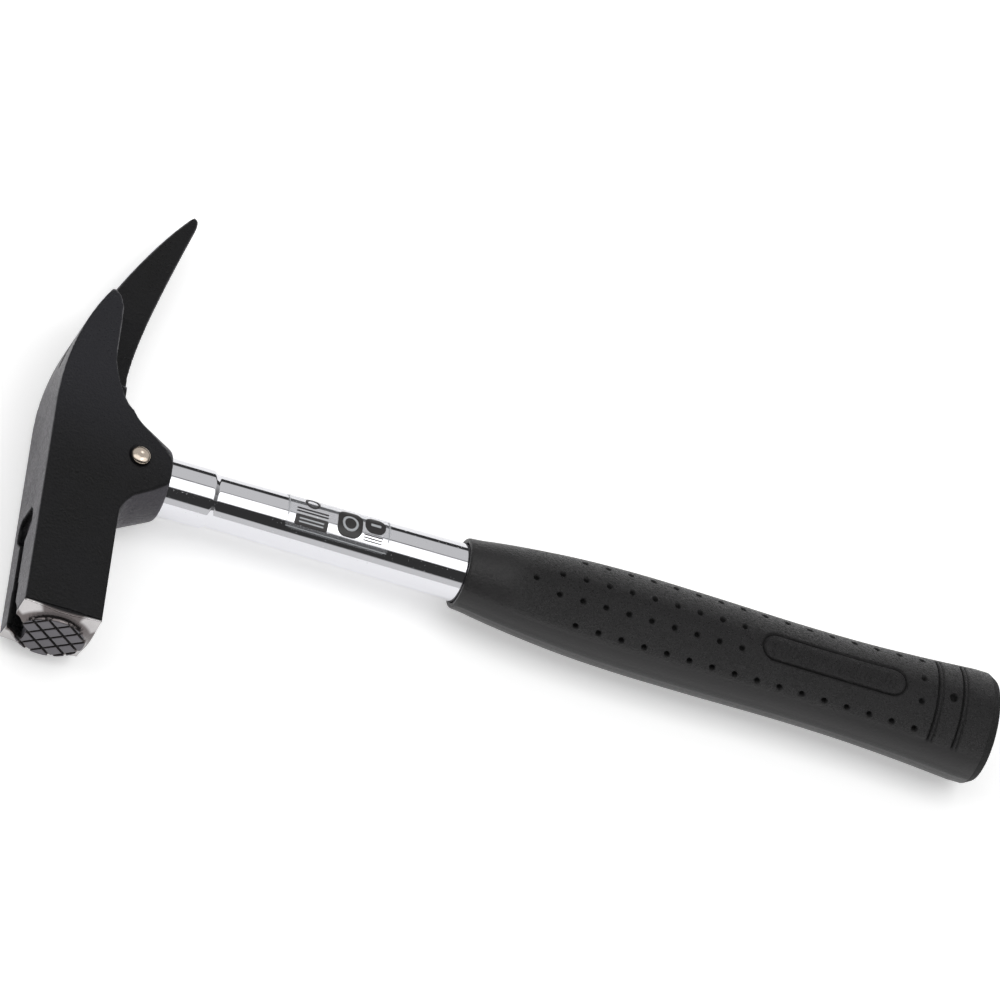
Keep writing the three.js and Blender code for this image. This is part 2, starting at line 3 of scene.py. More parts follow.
import bmesh
import bpy
import numpy as np
from bpy.props import (
    FloatProperty,
    FloatVectorProperty,
    IntProperty,
    PointerProperty,
)
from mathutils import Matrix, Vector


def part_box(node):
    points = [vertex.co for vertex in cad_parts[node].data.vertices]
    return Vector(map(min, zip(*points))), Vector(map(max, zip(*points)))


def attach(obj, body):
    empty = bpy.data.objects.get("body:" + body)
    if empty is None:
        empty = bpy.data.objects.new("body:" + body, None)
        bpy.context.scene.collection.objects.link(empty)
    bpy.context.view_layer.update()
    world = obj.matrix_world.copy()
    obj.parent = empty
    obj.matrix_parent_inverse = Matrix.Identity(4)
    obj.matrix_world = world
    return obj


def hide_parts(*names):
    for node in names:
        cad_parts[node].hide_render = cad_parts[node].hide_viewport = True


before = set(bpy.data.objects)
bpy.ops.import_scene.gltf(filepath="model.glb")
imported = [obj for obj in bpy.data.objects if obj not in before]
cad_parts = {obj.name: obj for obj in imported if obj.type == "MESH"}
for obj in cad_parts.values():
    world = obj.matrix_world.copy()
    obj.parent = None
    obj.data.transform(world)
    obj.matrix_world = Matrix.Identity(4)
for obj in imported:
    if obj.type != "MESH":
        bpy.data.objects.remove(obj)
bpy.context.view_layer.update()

bl_info = {
    "name": "Roofing hammer",
    "version": (1, 0, 0),
    "blender": (4, 5, 0),
    "location": "View3D > Sidebar > Hammer",
    "description": "Builds a tubular-handled roofing hammer around its packed solids",
    "category": "Object",
}

MM = 0.001
HEAD_LOW, HEAD_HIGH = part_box("hammer_head")
TUBE_LOW, TUBE_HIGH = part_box("handle_tube")
GRIP_LOW, GRIP_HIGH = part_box("grip")
LABEL_LOW, LABEL_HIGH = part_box("handle_label")
RIVET_LOW, RIVET_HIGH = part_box("head_rivet")
MAGNET_LOW, MAGNET_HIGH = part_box("nail_magnet")

# Pieces are worked out in metres from the head's top (x) and the handle's axis (y and z).
ORIGIN = np.array([HEAD_LOW.x, (TUBE_LOW.y + TUBE_HIGH.y) / 2, (TUBE_LOW.z + TUBE_HIGH.z) / 2])


def linear(code):
    """An sRGB hex colour as linear red, green and blue."""
    channels = [int(code[i : i + 2], 16) / 255 for i in (1, 3, 5)]
    return tuple(c / 12.92 if c <= 0.04045 else ((c + 0.055) / 1.055) ** 2.4 for c in channels)


def opaque(colour):
    return (*colour, 1.0)


# --- Settings ---------------------------------------------------------------------------------


def length(name, description, millimetres):
    """A setting that holds a length."""
    return FloatProperty(
        name=name, description=description, default=millimetres * MM, unit="LENGTH"
    )


def tint(name, description, code):
    """A setting that holds a colour, given as sRGB hex."""
    return FloatVectorProperty(
        name=name, description=description, subtype="COLOR", default=linear(code)
    )


class HammerHeadSettings(bpy.types.PropertyGroup):
    body_grain: length(
        "Body grain",
        "Size of the mesh cells on the forged body, which sets how soft its edges are",
        0.46,
    )
    face_grain: length("Face grain", "Size of the mesh cells on the milled striking end", 0.19)
    body_smoothing: IntProperty(
        name="Body smoothing",
        description="Passes that round the forged edges",
        default=7,
    )
    face_smoothing: IntProperty(
        name="Face smoothing",
        description="Passes that break the milled edges",
        default=3,
    )
    striking_length: length(
        "Striking end", "Length of the finely meshed end behind the striking face", 4.2
    )
    face_radius: length("Face radius", "Flat part of the striking face", 11.2)
    grind_reach: length("Grind reach", "Radius at which the hollow-ground edge is deepest", 18.6)
    grind_depth: length("Grind depth", "Depth of the hollow-ground edge at the poll's corners", 3.5)
    poll_depth: length("Poll depth", "Top of the head to the underside of the poll", 25.5)
    paint: tint("Paint", "Black stoving paint", "#111114")
    steel: tint("Ground steel", "Bare steel on the striking face", "#c4c1c1")


class HammerRivetSettings(bpy.types.PropertyGroup):
    dimple_radius: length("Dimple radius", "Radius of the mark that the riveting tool leaves", 0.75)
    dimple_depth: length("Dimple depth", "Depth of that mark", 0.35)
    metal: tint("Metal", "Warm nickel plate", "#c9bcae")


class HammerTubeSettings(bpy.types.PropertyGroup):
    shoulder: length("Shoulder", "Where the tube is drawn down, from the top of the head", 56)
    shoulder_length: length("Shoulder length", "Length of that step", 1.8)
    waist_radius: length("Waist radius", "Radius behind the shoulder", 8.75)
    grip_radius: length("Grip radius", "Radius where the tube enters the grip", 9.6)
    wall: length("Wall", "Tube wall", 1.3)
    chrome: tint("Chrome", "Bright chrome plate", "#dddde1")


class HammerGripSettings(bpy.types.PropertyGroup):
    oval: FloatProperty(
        name="Oval", description="Width over height at the grip's end", default=0.87
    )
    lean: length("Lean", "How far the grip's end sits towards the face", 2.1)
    lip_wall: length("Lip wall", "Rubber over the tube at the lip", 1.7)
    chamfer: length("End chamfer", "Length of the end's chamfer", 3)
    dimple_radius: length("Dimple radius", "Radius of each dimple", 0.95)
    dimple_depth: length("Dimple depth", "Depth of each dimple", 1.3)
    dimple_pitch: length("Dimple pitch", "Distance between dimples along the grip", 7.85)
    panel_length: length("Panel length", "Length of the outlined panel", 50)
    panel_height: length("Panel height", "Height of the outlined panel", 9.5)
    rubber: tint("Rubber", "Moulded black rubber", "#191819")


class HammerLabelSettings(bpy.types.PropertyGroup):
    corner: length("Corner radius", "Rounded corners of the film", 2.4)
    first_angle: FloatProperty(
        name="First edge",
        description="Angle of the film's lower edge from the upper side",
        default=math.radians(-40),
        subtype="ANGLE",
    )
    last_angle: FloatProperty(
        name="Last edge",
        description="Angle of the film's upper edge from the upper side",
        default=math.radians(65),
        subtype="ANGLE",
    )
    film: tint("Film", "Clear polyester film", "#e9ebee")
    ink: tint("Ink", "Printed marks", "#232021")


class HammerStageSettings(bpy.types.PropertyGroup):
    camera_place: FloatVectorProperty(
        name="Camera place",
        description="Where the camera stands",
        subtype="TRANSLATION",
        default=(-0.65955, -1.2812, 2.07226),
    )
    camera_turn: FloatVectorProperty(
        name="Camera turn",
        description="The camera's rotation",
        subtype="EULER",
        default=(math.radians(28.766), math.radians(-21.088), math.radians(6.54)),
    )
    lens: FloatProperty(name="Lens", description="Focal length in millimetres", default=281.8)
    floor: tint("Floor", "Pale matt floor, lit from beneath", "#f4f4f4")
    sky: FloatVectorProperty(
        name="Sky",
        description="Tint of the studio's light",
        subtype="COLOR",
        default=(1, 1, 1),
    )


SETTINGS = {
    "hammer_head_settings": HammerHeadSettings,
    "hammer_rivet_settings": HammerRivetSettings,
    "hammer_tube_settings": HammerTubeSettings,
    "hammer_grip_settings": HammerGripSettings,
    "hammer_label_settings": HammerLabelSettings,
    "hammer_stage_settings": HammerStageSettings,
}

# --- Surfaces ---------------------------------------------------------------------------------


def smoothstep(low, high, value):
    """Rises smoothly from 0 at low to 1 at high: t squared times (3 - 2 t)."""
    t = np.clip((value - low) / (high - low), 0, 1)
    return t * t * (3 - 2 * t)


def lines(low, high, centres, reach, fine, coarse):
    """Grid lines from low to high, `fine` apart within `reach` of each centre and `coarse`
    elsewhere."""
    near = [centre + np.arange(-reach, reach + fine / 2, fine) for centre in centres]
    marks = np.sort(np.concatenate([[low, high], *near]))
    marks = marks[(marks >= low) & (marks <= high)]
    marks = marks[np.append(True, np.diff(marks) > fine * 0.45)]
    spans = zip(marks[:-1], marks[1:])
    filled = [
        np.linspace(a, b, max(1, math.ceil((b - a) / coarse)), endpoint=False) for a, b in spans
    ]
    return np.append(np.concatenate(filled), marks[-1])


def around(count):
    return np.linspace(0, 2 * math.pi, count, endpoint=False)


def turned(profile, angles):
    """Rings of a profile turned about the handle's axis: y is radius times the sine of the angle
    from +Z towards +Y, and z is radius times its cosine."""
    along, radius = profile[:, 0, None], profile[:, 1, None]
    return np.stack(
        [along + 0 * angles, radius * np.sin(angles), radius * np.cos(angles)], axis=-1
    )


def ring_faces(rows, columns, closed_lengthwise=False):
    """Quads between neighbouring rings, which are closed round."""
    index = np.arange(rows * columns).reshape(rows, columns)
    right = np.roll(index, -1, axis=1)
    if closed_lengthwise:
        below, below_right = np.roll(index, -1, axis=0), np.roll(right, -1, axis=0)
    else:
        index, below = index[:-1], index[1:]
        right, below_right = right[:-1], right[1:]
    return np.stack([index, right, below_right, below], axis=-1).reshape(-1, 4)


def capped(rings):
    """Points and faces of rings whose two ends are closed by fans to their middles."""
    rows, columns = rings.shape[:2]
    ends = np.stack([rings[0].mean(axis=0), rings[-1].mean(axis=0)])
    points = np.concatenate([rings.reshape(-1, 3), ends])
    first = np.arange(columns)
    last = first + (rows - 1) * columns
    fans = [
        np.stack([np.roll(first, -1), first, np.full(columns, rows * columns)], axis=-1),
        np.stack([last, np.roll(last, -1), np.full(columns, rows * columns + 1)], axis=-1),
    ]
    faces = ring_faces(rows, columns).tolist() + fans[0].tolist() + fans[1].tolist()
    return points, faces


def leaf(low_side, high_side):
    """A thin closed leaf between two grids of points that match row by row."""
    rows, columns = low_side.shape[:2]
    count = rows * columns
    index = np.arange(count).reshape(rows, columns)
    corners = [index[:-1, :-1], index[:-1, 1:], index[1:, 1:], index[1:, :-1]]
    low_faces = np.stack(corners, axis=-1).reshape(-1, 4)
    high_faces = low_faces[:, ::-1] + count
    rim = np.concatenate([index[0, :-1], index[:-1, -1], index[-1, :0:-1], index[:0:-1, 0]])
    after = np.roll(rim, -1)
    sides = np.stack([after, rim, rim + count, after + count], axis=-1)
    points = np.concatenate([low_side.reshape(-1, 3), high_side.reshape(-1, 3)])
    return points, np.concatenate([low_faces, high_faces, sides]).tolist()


def merged(parts):
    """Several sets of points and faces as one."""
    points, faces, start = [], [], 0
    for part_points, part_faces in parts:
        points.append(part_points)
        faces += [[corner + start for corner in face] for face in part_faces]
        start += len(part_points)
    return np.concatenate(points), faces


def make_piece(name, points, faces, material, replaced=(), in_frame=False):
    """A smooth closed piece on the hammer's only body. Points are from ORIGIN unless in_frame."""
    mesh = bpy.data.meshes.new(name)
    placed = points if in_frame else points + ORIGIN
    mesh.from_pydata(placed, [], faces)
    shape = bmesh.new()
    shape.from_mesh(mesh)
    bmesh.ops.recalc_face_normals(shape, faces=shape.faces)
    shape.to_mesh(mesh)
    shape.free()
    mesh.shade_smooth()
    mesh.materials.append(material)
    piece = bpy.data.objects.new(name, mesh)
    bpy.context.scene.collection.objects.link(piece)
    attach(piece, "root")
    if replaced:
        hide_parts(*replaced)
    return piece


def give(piece, name, values):
    """Stores one number per point on the piece's mesh."""
    attribute = piece.data.attributes.new(name, "FLOAT", "POINT")
    attribute.data.foreach_set("value", np.ascontiguousarray(values, dtype=np.float32))


# --- Materials --------------------------------------------------------------------------------


def new_material(name):
    """A material, its empty node tree, and the object coordinates in it."""
    material = bpy.data.materials.new(name)
    material.use_nodes = True
    tree = material.node_tree
    tree.nodes.clear()
    return material, tree, add(tree, "TexCoord").outputs["Object"]


def add(tree, kind, sockets=None, **settings):
    """Adds a node. Each socket is given a value, or the output that it is linked to."""
    made = tree.nodes.new("ShaderNode" + kind)
    for name, value in settings.items():
        setattr(made, name, value)
    for name, value in (sockets or {}).items():
        if isinstance(value, bpy.types.NodeSocket):
            tree.links.new(value, made.inputs[name])
        else:
            made.inputs[name].default_value = value
    return made


def surfaced(material, tree, sockets):
    """The material, with a principled shader that has these sockets as its surface."""
    shader = add(tree, "BsdfPrincipled", sockets)
    add(tree, "OutputMaterial", {"Surface": shader.outputs["BSDF"]})
    return material


def attribute(tree, name):
    return add(tree, "Attribute", attribute_name=name).outputs["Fac"]


def worked(tree, operation, first, second=0.0):
    return add(tree, "Math", {0: first, 1: second}, operation=operation).outputs[0]


def noise(tree, where, size, detail=3.0, roughness=0.55):
    """Noise whose blotches are about `size` metres across."""
    sockets = {"Vector": where, "Scale": 1 / size, "Detail": detail, "Roughness": roughness}
    return add(tree, "TexNoise", sockets).outputs["Fac"]


def streaks(tree, where, sizes, detail):
    """Noise whose blotches have a size of their own along each axis, in metres."""
    scale = tuple(1 / size for size in sizes)
    stretch = add(tree, "Mapping", {"Vector": where, "Scale": scale}).outputs[0]
    sockets = {"Vector": stretch, "Scale": 1.0, "Detail": detail}
    return add(tree, "TexNoise", sockets).outputs["Fac"]


def ranged(tree, value, from_low, from_high, to_low, to_high):
    sockets = {0: value, 1: from_low, 2: from_high, 3: to_low, 4: to_high}
    return add(tree, "MapRange", sockets).outputs["Result"]


def mixed(tree, share, first, second):
    """The first number where share is 0, the second where it is 1."""
    sockets = {0: share, 2: first, 3: second}
    return add(tree, "Mix", sockets, data_type="FLOAT").outputs[0]


def blended(tree, share, first, second):
    """The first colour where share is 0, the second where it is 1."""
    sockets = {0: share, 6: first, 7: second}
    return add(tree, "Mix", sockets, data_type="RGBA").outputs[2]


def bumped(tree, height, distance, strength=1.0, onto=None):
    sockets = {"Height": height, "Distance": distance, "Strength": strength}
    if onto is not None:
        sockets["Normal"] = onto
    return add(tree, "Bump", sockets).outputs["Normal"]


def forged_steel_paint(settings):
    """Drop-forged steel, dipped in black stoving paint: a low sheen over fine scale pits and faint
    grinding marks, with the paint wearing away on the edges, which also carry a painted highlight,
    and milled away around the striking face."""
    material, tree, where = new_material("stoved_black_on_forged_steel")
    scale_pits = noise(tree, where, 0.9 * MM, 4.0, 0.6)
    blotches = noise(tree, where, 14 * MM, 3.0)
    grain = noise(tree, where, 0.42 * MM, 2.0)
    marks = streaks(tree, where, (0.5 * MM, 9 * MM, 0.5 * MM), 2.0)
    names = ("ground", "wear_and_highlight", "cast", "paler_upper_claw", "top_reflection", "pad", "reflection_crescent")
    ground, wear_and_highlight, cast, paler_upper_claw, top_reflection, pad, reflection_crescent = (attribute(tree, name) for name in names)

    # Paint: mottled, paler on the upper side towards the claw, greyed where it lies on the cast
    # skin, and greyed by a painted reflection where it faces the head's top
    dark, light, paler_paint = (
        opaque(tuple(share * c for c in settings.paint)) for share in (0.3, 0.9, 3.2)
    )
    paint_colour = blended(tree, ranged(tree, blotches, 0.35, 0.65, 0.0, 1.0), dark, light)
    # Paler paint over the upper side towards the claw
    paint_colour = blended(tree, paler_upper_claw, paint_colour, paler_paint)
    greyed_share = worked(tree, "MAXIMUM", top_reflection, cast)
    greyed = blended(tree, greyed_share, paint_colour, opaque(linear("#504e53")))
    # The claw's convex edges turn lighter: worn paint, and partly a painted highlight along them
    worn_highlight_share = ranged(tree, wear_and_highlight, 0.3, 1.0, 0.0, 0.85)
    worn_and_highlit = blended(tree, worn_highlight_share, greyed, opaque(linear("#8d8b8f")))

    # Bare steel: bright crescents and a duller ring of painted reflection, and grey waffle pads
    patina = worked(tree, "MAXIMUM", ranged(tree, blotches, 0.3, 0.7, 0.0, 0.25), pad)
    reflection_tint = blended(tree, reflection_crescent, opaque(linear("#6a6463")), opaque(settings.steel))
    steel_tint = blended(tree, patina, reflection_tint, opaque(linear("#615f63")))

    patch_gloss = ranged(tree, blotches, 0.35, 0.65, 0.0, 0.1)
    pit_gloss = ranged(tree, scale_pits, 0.3, 0.7, 0.2, 0.46)
    paint_gloss = worked(tree, "ADD", patch_gloss, pit_gloss)
    painted_gloss = mixed(tree, cast, paint_gloss, worked(tree, "ADD", paint_gloss, 0.1))
    edge_gloss = ranged(tree, grain, 0.3, 0.7, 0.16, 0.25)
    steel_gloss = worked(tree, "ADD", ranged(tree, pad, 0.0, 1.0, 0.0, 0.16), edge_gloss)

    # The pits lie in the paint, so they fade out on the bare steel
    pits_strength = ranged(tree, ground, 0.0, 0.5, 1.0, 0.08)
    fine = bumped(tree, marks, 0.02 * MM, 0.7)
    pits = bumped(tree, scale_pits, 0.42 * MM, pits_strength, fine)
    skin_height = worked(tree, "MULTIPLY", noise(tree, where, 1.6 * MM, 5.0, 0.65), cast)
    sockets = {
        "Base Color": blended(tree, ground, worn_and_highlit, steel_tint),
        "Metallic": ground,
        "Roughness": mixed(tree, ground, painted_gloss, steel_gloss),
        "Specular IOR Level": 0.22,
        "Normal": bumped(tree, skin_height, 0.55 * MM, 1.0, pits),
    }
    return surfaced(material, tree, sockets)


def chrome_plate(colour):
    """Bright chrome over a drawn steel tube: mirror sharp, with faint lengthwise draw lines and a
    few pin pricks in the plate."""
    material, tree, where = new_material("chrome_plate_on_drawn_tube")
    draw = streaks(tree, where, (40 * MM, 0.8 * MM, 0.8 * MM), 3.0)
    pricks = noise(tree, where, 0.7 * MM, 2.0)
    prick_height = ranged(tree, pricks, 0.7, 0.78, 1.0, 0.0)
    waves = noise(tree, where, 9 * MM, 1.0)
    lines_bump = bumped(tree, draw, 0.008 * MM, 0.9)
    wave_bump = bumped(tree, waves, 0.03 * MM, 0.6, lines_bump)
    pits = bumped(tree, prick_height, 0.03 * MM, 0.7, wave_bump)
    sockets = {
        "Base Color": opaque(colour),
        "Metallic": 1.0,
        "Roughness": ranged(tree, draw, 0.3, 0.7, 0.035, 0.085),
        "Normal": pits,
    }
    return surfaced(material, tree, sockets)


def plated_metal(name, colour, low, high, size):
    """Barrelled nickel plate: soft gloss that varies a little, with tumbling marks."""
    material, tree, where = new_material(name)
    tumbling = noise(tree, where, size, 3.0)
    sockets = {
        "Base Color": opaque(colour),
        "Metallic": 1.0,
        "Roughness": ranged(tree, tumbling, 0.3, 0.7, low, high),
        "Normal": bumped(tree, tumbling, 0.03 * MM, 0.6),
    }
    return surfaced(material, tree, sockets)


def moulded_rubber(colour):
    """Black rubber out of a spark-eroded mould: a fine sandy grain that breaks its soft sheen, with
    smoother bands along the two edges where the mould was polished, and dull hollows and an end
    chamfer that are darkened by painted shade."""
    material, tree, where = new_material("moulded_black_rubber")
    sandy, hollow = attribute(tree, "sandy"), attribute(tree, "hollow")
    grain = noise(tree, where, 0.85 * MM, 3.0, 0.7)
    dust = noise(tree, where, 11 * MM, 3.0)
    dusty = opaque(tuple(1.35 * c for c in colour))
    base = blended(tree, ranged(tree, dust, 0.35, 0.7, 0.0, 1.0), opaque(colour), dusty)
    smooth_gloss = ranged(tree, dust, 0.3, 0.7, 0.36, 0.44)
    rough_gloss = ranged(tree, grain, 0.35, 0.65, 0.22, 0.6)
    gloss = mixed(tree, sandy, smooth_gloss, rough_gloss)
    height = worked(tree, "MULTIPLY", grain, sandy)
    sockets = {
        # Painted shade: the hollows and the end's chamfer are darkened towards near black
        "Base Color": blended(tree, hollow, base, opaque(linear("#040404"))),
        "Roughness": mixed(tree, hollow, gloss, 0.95),
        "Specular IOR Level": 0.45,
        "Normal": bumped(tree, height, 0.9 * MM, 1.0),
    }
    return surfaced(material, tree, sockets)


def clear_film(colour):
    """Clear polyester label film: nearly all of the chrome shows through, under a faint haze."""
    material, tree, where = new_material("clear_polyester_film")
    ripple = noise(tree, where, 2.5 * MM, 2.0)
    sockets = {
        "Base Color": opaque(colour),
        "Roughness": 0.12,
        "Specular IOR Level": 0.3,
        "Alpha": 0.06,
        "Normal": bumped(tree, ripple, 0.01 * MM, 0.5),
    }
    return surfaced(material, tree, sockets)


def printed_ink(name, colour):
    """Screen-printed ink: dense and flat, a little uneven in gloss."""
    material, tree, where = new_material(name)
    screen = noise(tree, where, 0.3 * MM, 2.0)
    sockets = {
        "Base Color": opaque(colour),
        "Roughness": ranged(tree, screen, 0.3, 0.7, 0.32, 0.46),
        "Normal": bumped(tree, screen, 0.01 * MM, 0.5),
    }
    return surfaced(material, tree, sockets)


def turned_beech():
    """Turned beech: pale brown, with fine darker flecks along the grain."""
    material, tree, where = new_material("turned_beech")
    grain = streaks(tree, where, (14 * MM, 1.2 * MM, 1.2 * MM), 5.0)
    sockets = {
        "Base Color": blended(tree, grain, opaque(linear("#c39a68")), opaque(linear("#8b6136"))),
        "Roughness": ranged(tree, grain, 0.3, 0.7, 0.55, 0.7),
        "Normal": bumped(tree, grain, 0.05 * MM, 0.6),
    }
    return surfaced(material, tree, sockets)


def moulded_plastic():
    """Moulded black polyethylene: a waxy, faintly mottled sheen."""
    material, tree, where = new_material("moulded_polyethylene")
    mottle = noise(tree, where, 1.2 * MM, 3.0)
    sockets = {
        "Base Color": blended(tree, mottle, opaque(linear("#1b1b1d")), opaque(linear("#29292b"))),
        "Roughness": ranged(tree, mottle, 0.3, 0.7, 0.4, 0.55),
        "Normal": bumped(tree, mottle, 0.03 * MM, 0.5),
    }
    return surfaced(material, tree, sockets)


def dress(node, material):
    """Gives a CAD node that stays in view its finished material."""
    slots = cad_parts[node].material_slots
    if not slots:
        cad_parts[node].data.materials.append(material)
    for slot in slots:
        slot.material = material


# --- Hammer head ------------------------------------------------------------------------------


def cut_head(behind, plane_y):
    """The head's solid on one side of an upright plane, closed where it is cut."""
    shape = bmesh.new()
    shape.from_mesh(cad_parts["hammer_head"].data)
    bmesh.ops.remove_doubles(shape, verts=shape.verts, dist=0.001 * MM)
    everything = shape.verts[:] + shape.edges[:] + shape.faces[:]
    cut = bmesh.ops.bisect_plane(
        shape,
        geom=everything,
        dist=0.0001 * MM,
        plane_co=(0, plane_y, 0),
        plane_no=(0, 1, 0),
        clear_inner=behind,
        clear_outer=not behind,
    )
    edges = [part for part in cut["geom_cut"] if isinstance(part, bmesh.types.BMEdge)]
    bmesh.ops.triangle_fill(shape, edges=edges, use_beauty=True)
    bmesh.ops.recalc_face_normals(shape, faces=shape.faces)
    return shape


def remeshed(shape, cell):
    """The shape's surface as evenly spaced quads: points and faces."""
    mesh = bpy.data.meshes.new("work")
    shape.to_mesh(mesh)
    shape.free()
    work = bpy.data.objects.new("work", mesh)
    bpy.context.scene.collection.objects.link(work)
    modifier = work.modifiers.new("Even cells", "REMESH")
    modifier.mode = "VOXEL"
    modifier.voxel_size = cell
    modifier.adaptivity = 0.0
    evaluated = work.evaluated_get(bpy.context.evaluated_depsgraph_get())
    result = bpy.data.meshes.new_from_object(evaluated)
    points = np.empty(len(result.vertices) * 3)
    result.vertices.foreach_get("co", points)
    corners = np.empty(len(result.loops), dtype=np.int32)
    result.loops.foreach_get("vertex_index", corners)
    bpy.data.objects.remove(work)
    bpy.data.meshes.remove(mesh)
    bpy.data.meshes.remove(result)
    return points.reshape(-1, 3), corners.reshape(-1, 4)


def edges_of(faces):
    pairs = np.concatenate([faces[:, [i, (i + 1) % 4]] for i in range(4)])
    return np.unique(np.sort(pairs, axis=1), axis=0)


def neighbour_mean(values, edges):
    """Each point's mean of the values at the points it shares an edge with."""
    first, second = edges[:, 0], edges[:, 1]
    count = np.bincount(edges.ravel(), minlength=len(values))
    total = np.stack(
        [
            np.bincount(first, values[second, k], len(values))
            + np.bincount(second, values[first, k], len(values))
            for k in range(values.shape[1])
        ],
        axis=-1,
    )
    return total / count[:, None]


def rounded(points, edges, passes, freedom):
    """Smooths by turns of pulling each point to its neighbours' mean and pushing it back a little
    further, so that edges are rounded and nothing shrinks. Points move by their share of
    freedom."""
    for _ in range(passes):
        for pull in (0.55, -0.57):
            points = points + pull * freedom[:, None] * (neighbour_mean(points, edges) - points)
    return points


def normals_of(points, faces):
    """Each point's normal: the sum of its faces' diagonals' cross products, made one long."""
    across = points[faces[:, 2]] - points[faces[:, 0]]
    along = points[faces[:, 3]] - points[faces[:, 1]]
    face_normals = np.cross(across, along)
    total = np.stack(
        [
            np.bincount(faces.ravel(), np.repeat(face_normals[:, k], 4), len(points))
            for k in range(3)
        ],
        axis=-1,
    )
    return total / np.linalg.norm(total, axis=1, keepdims=True)


def edge_wear_and_highlight(points, faces, edges, cell):
    """How sharply the surface bends outwards at each point, from 0 to 1 on the edges."""
    inward = neighbour_mean(points, edges) - points
    bend = -(inward * normals_of(points, faces)).sum(axis=1) / cell
    for _ in range(2):
        bend = neighbour_mean(bend[:, None], edges)[:, 0]
    return smoothstep(0.03, 0.16, bend)


GRIND_LEEWAY = 0.6 * MM
PAINT_EDGE = (0.3 * MM, 0.6 * MM)  # the paint is whole again this far behind the ground edge


def ground_share(points, settings):
    """1 on the face and its hollow-ground edge, 0 where paint is left. The grind is as deep as the
    sine of the angle whose cosine is the share of its reach that is left at that radius."""
    local = points - ORIGIN
    radius = np.hypot(local[:, 0] - settings.poll_depth / 2, local[:, 2])
    left = settings.grind_reach - radius - GRIND_LEEWAY
    share = np.clip(left / (settings.grind_reach - settings.face_radius), 0, 1)
    depth = settings.grind_depth * np.sqrt(1 - share**2)
    behind = local[:, 1] - (HEAD_LOW.y - ORIGIN[1])
    return 1 - smoothstep(*PAINT_EDGE, behind - depth)


# Where the head's finishes begin and end, in metres from ORIGIN unless it says otherwise
UNDERSIDE = (25.8 * MM, 27.5 * MM)  # down from the head's top
BORE_EDGE = (10.3 * MM, 10.8 * MM)  # out from the handle's axis
SOCKET_SIDES = (21 * MM, 25 * MM)  # to either side of the handle's axis
CLAW_ROOT = (13 * MM, 15 * MM)  # from the axis towards the claw
CLAW_TOP = (9 * MM, 14 * MM)  # down from the head's top
CHEEK_BREAK = 14 * MM  # down from the head's top, where the cheeks start to close in
CHEEK_SLOPE = 0.07  # how much each cheek closes in per metre from there
# Where the paint is paler, over the upper side towards the claw
PALER_CLAW_LENGTH = (-12 * MM, 30 * MM)  # from the axis towards the claw
UPPER_CHEEK = (2 * MM, 8 * MM)  # up from the axis
# The bright crescents of painted reflection on the ground edge lie here
CORNER_REACH = (12.2 * MM, 13.4 * MM)  # out from the face's middle
CORNER_SHARE = (0.2, 0.6)  # of the way from a side's middle to a corner
# The faces that look to the head's top are greyed by a painted reflection
TOP_FACING = (0.8, 0.96)  # cosine of the angle between the surface's normal and the head's top
PAD_DEPTH = (0.06 * MM, 0.22 * MM)  # back from the striking face


def head_finish(points, faces, edges, cell, settings):
    """The share of each finish at each point, some of them painted light. The bright crescents of
    painted reflection lie where minus the cosine of four times the angle round the face is high,
    which is at its four corners."""
    x, y, z = (points - ORIGIN).T
    cheek = (HEAD_HIGH.z - HEAD_LOW.z) / 2 - CHEEK_SLOPE * np.maximum(x - CHEEK_BREAK, 0)
    off_cheek = 1 - smoothstep(cheek - 1 * MM, cheek - 0.5 * MM, np.abs(z))
    off_bore = smoothstep(*BORE_EDGE, np.hypot(y, z))
    near_socket = 1 - smoothstep(*SOCKET_SIDES, np.abs(y))
    on_claw = smoothstep(*CLAW_ROOT, y) * smoothstep(*CLAW_TOP, x)
    from_middle = x - settings.poll_depth / 2
    corners = smoothstep(*CORNER_SHARE, -np.cos(4 * np.arctan2(z, from_middle)))
    return {
        "cast": smoothstep(*UNDERSIDE, x) * off_cheek * off_bore * near_socket,
        # Worn paint on the claw's convex edges, partly a painted highlight
        "wear_and_highlight": edge_wear_and_highlight(points, faces, edges, cell) * on_claw,
        "ground": ground_share(points, settings),
        # Bright crescents of painted reflection at the face's corners
        "reflection_crescent": corners * smoothstep(*CORNER_REACH, np.hypot(z, from_middle)),
        # Paler paint over the upper side towards the claw
        "paler_upper_claw": smoothstep(*PALER_CLAW_LENGTH, y) * smoothstep(*UPPER_CHEEK, z),
        # Faces that look to the head's top, greyed by a painted reflection
        "top_reflection": smoothstep(*TOP_FACING, -normals_of(points, faces)[:, 0]),
        "pad": 1 - smoothstep(*PAD_DEPTH, points[:, 1] - HEAD_LOW.y),
    }


class HAMMER_OT_head(bpy.types.Operator):
    """Forged head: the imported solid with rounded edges, finely meshed at its striking end"""

    bl_idname = "hammer.head"
    bl_label = "Head"

    def execute(self, context):
        settings = context.scene.hammer_head_settings
        material = forged_steel_paint(settings)
        seam = HEAD_LOW.y + settings.striking_length
        for name, behind, cell, passes in (
            ("forged_head", True, settings.body_grain, settings.body_smoothing),
            ("striking_end", False, settings.face_grain, settings.face_smoothing),
        ):
            points, faces = remeshed(cut_head(behind, seam), cell)
            edges = edges_of(faces)
            freedom = smoothstep(0.1 * MM, 0.9 * MM, np.abs(points[:, 1] - seam))
            points = rounded(points, edges, passes, freedom)
            points = np.clip(points, np.array(HEAD_LOW), np.array(HEAD_HIGH))
            replaced = ("hammer_head",)
            piece = make_piece(
                name, points, faces.tolist(), material, replaced, in_frame=True
            )
            for finish, shares in head_finish(points, faces, edges, cell, settings).items():
                give(piece, finish, shares)
        return {"FINISHED"}


